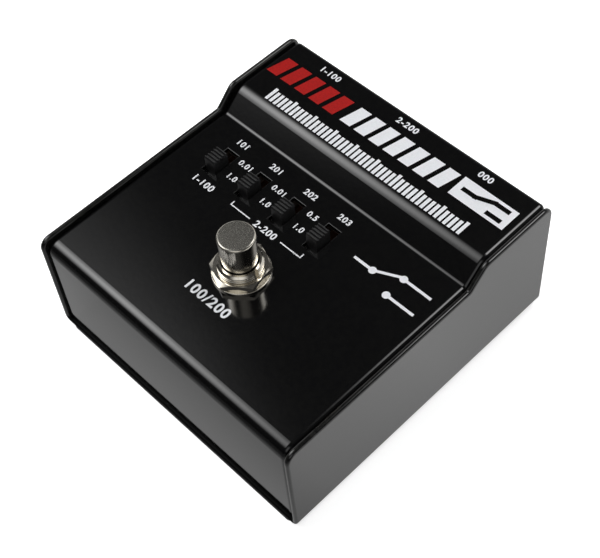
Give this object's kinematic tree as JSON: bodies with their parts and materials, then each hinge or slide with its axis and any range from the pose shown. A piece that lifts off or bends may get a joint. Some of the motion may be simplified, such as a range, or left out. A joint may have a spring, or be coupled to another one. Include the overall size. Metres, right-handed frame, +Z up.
{
  "type": "audio line selector footswitch",
  "caption": "Low black steel floor box with a raised rear deck: a latching footswitch and slide switches on top, XLR connectors on the back, a rubber pad below.",
  "frame": {"origin": "middle of the rubber pad's underside, where the box stands", "axes": "+X to the right of someone facing the footswitch side, +Y to the back panel with the connectors, +Z up"},
  "size_m": [0.092, 0.0955, 0.0503],
  "materials": {
    "cradle_enamel": "gloss black enamel on bent steel sheet",
    "chassis_enamel": "gloss black enamel on bent steel sheet",
    "pad_rubber": "matte black rubber sheet",
    "zinc_screws": "bright zinc plate",
    "zinc_nuts": "bright zinc plate",
    "nickel_bushing": "polished nickel plate",
    "nickel_nut": "polished nickel plate",
    "nickel_button": "polished nickel plate with a satin top",
    "spring_steel": "drawn spring wire",
    "switch_housing": "moulded phenolic",
    "terminal_board": "phenolic laminate",
    "tinned_lugs": "tinned brass",
    "switch_steel": "nickel plated steel strip",
    "slider_plastic": "satin black moulding",
    "circuit_board": "solder mask on glass laminate",
    "resistor_film": "lacquered body",
    "jack_shell": "nickel plated die casting",
    "jack_insert": "black glass filled nylon",
    "jack_contacts": "silver plated brass",
    "latch_plastic": "black moulded tab",
    "wire_sheath": "coloured sleeving"
  },
  "bodies": {
    "case": {"base_cradle": "cradle_enamel", "chassis": "chassis_enamel", "base_pad": "pad_rubber", "case_screws": "zinc_screws", "clinch_nuts": "zinc_nuts", "footswitch_bushing": "nickel_bushing", "footswitch_nut": "nickel_nut", "footswitch_washer": "nickel_nut", "footswitch_back_nut": "nickel_nut", "footswitch_lock_washer": "zinc_nuts", "footswitch_spring": "spring_steel", "footswitch_housing": "switch_housing", "footswitch_terminal_plate": "terminal_board", "footswitch_lugs": "tinned_lugs", "switch_board": "circuit_board", "board_standoffs": "zinc_nuts", "board_screws": "zinc_screws", "pad_resistors": "resistor_film", "jack_screws": "zinc_screws", "jack_nuts": "zinc_nuts", "footswitch_wires": "wire_sheath", "pad_a_switch_frame": "switch_steel", "pad_a_switch_base": "terminal_board", "pad_a_switch_pins": "tinned_lugs", "pad_b_switch_frame": "switch_steel", "pad_b_switch_base": "terminal_board", "pad_b_switch_pins": "tinned_lugs", "trim_b_switch_frame": "switch_steel", "trim_b_switch_base": "terminal_board", "trim_b_switch_pins": "tinned_lugs", "ground_lift_switch_frame": "switch_steel", "ground_lift_switch_base": "terminal_board", "ground_lift_switch_pins": "tinned_lugs", "output_a_shell": "jack_shell", "output_a_insert": "jack_insert", "output_a_pins": "jack_contacts", "output_a_wires": "wire_sheath", "output_b_shell": "jack_shell", "output_b_insert": "jack_insert", "output_b_pins": "jack_contacts", "output_b_wires": "wire_sheath", "input_shell": "jack_shell", "input_insert": "jack_insert", "input_sockets": "jack_contacts", "input_wires": "wire_sheath"},
    "button": {"footswitch_button": "nickel_button"},
    "latch": {"input_latch": "latch_plastic"},
    "pad_a_slider_body": {"pad_a_slider": "slider_plastic"},
    "pad_b_slider_body": {"pad_b_slider": "slider_plastic"},
    "trim_b_slider_body": {"trim_b_slider": "slider_plastic"},
    "ground_lift_slider_body": {"ground_lift_slider": "slider_plastic"}
  },
  "joints": [
    {"name": "footswitch_press", "type": "slide", "parent": "case", "child": "button", "axis": [0, 0, -1], "range_m": [0, 0.0025], "stiffness_N_per_m": 4000, "springref_m": -0.0015, "deforming": ["footswitch_spring"]},
    {"name": "pad_a_slide", "type": "slide", "parent": "case", "child": "pad_a_slider_body", "axis": [0, 1, 0], "range_m": [0, 0.0021]},
    {"name": "pad_b_slide", "type": "slide", "parent": "case", "child": "pad_b_slider_body", "axis": [0, 1, 0], "range_m": [0, 0.0021]},
    {"name": "trim_b_slide", "type": "slide", "parent": "case", "child": "trim_b_slider_body", "axis": [0, 1, 0], "range_m": [0, 0.0021]},
    {"name": "ground_lift_slide", "type": "slide", "parent": "case", "child": "ground_lift_slider_body", "axis": [0, 1, 0], "range_m": [0, 0.0021]},
    {"name": "input_latch_push", "type": "slide", "parent": "case", "child": "latch", "axis": [0, -1, 0], "range_m": [0, 0.0012], "stiffness_N_per_m": 800, "springref_m": -0.001}
  ]
}
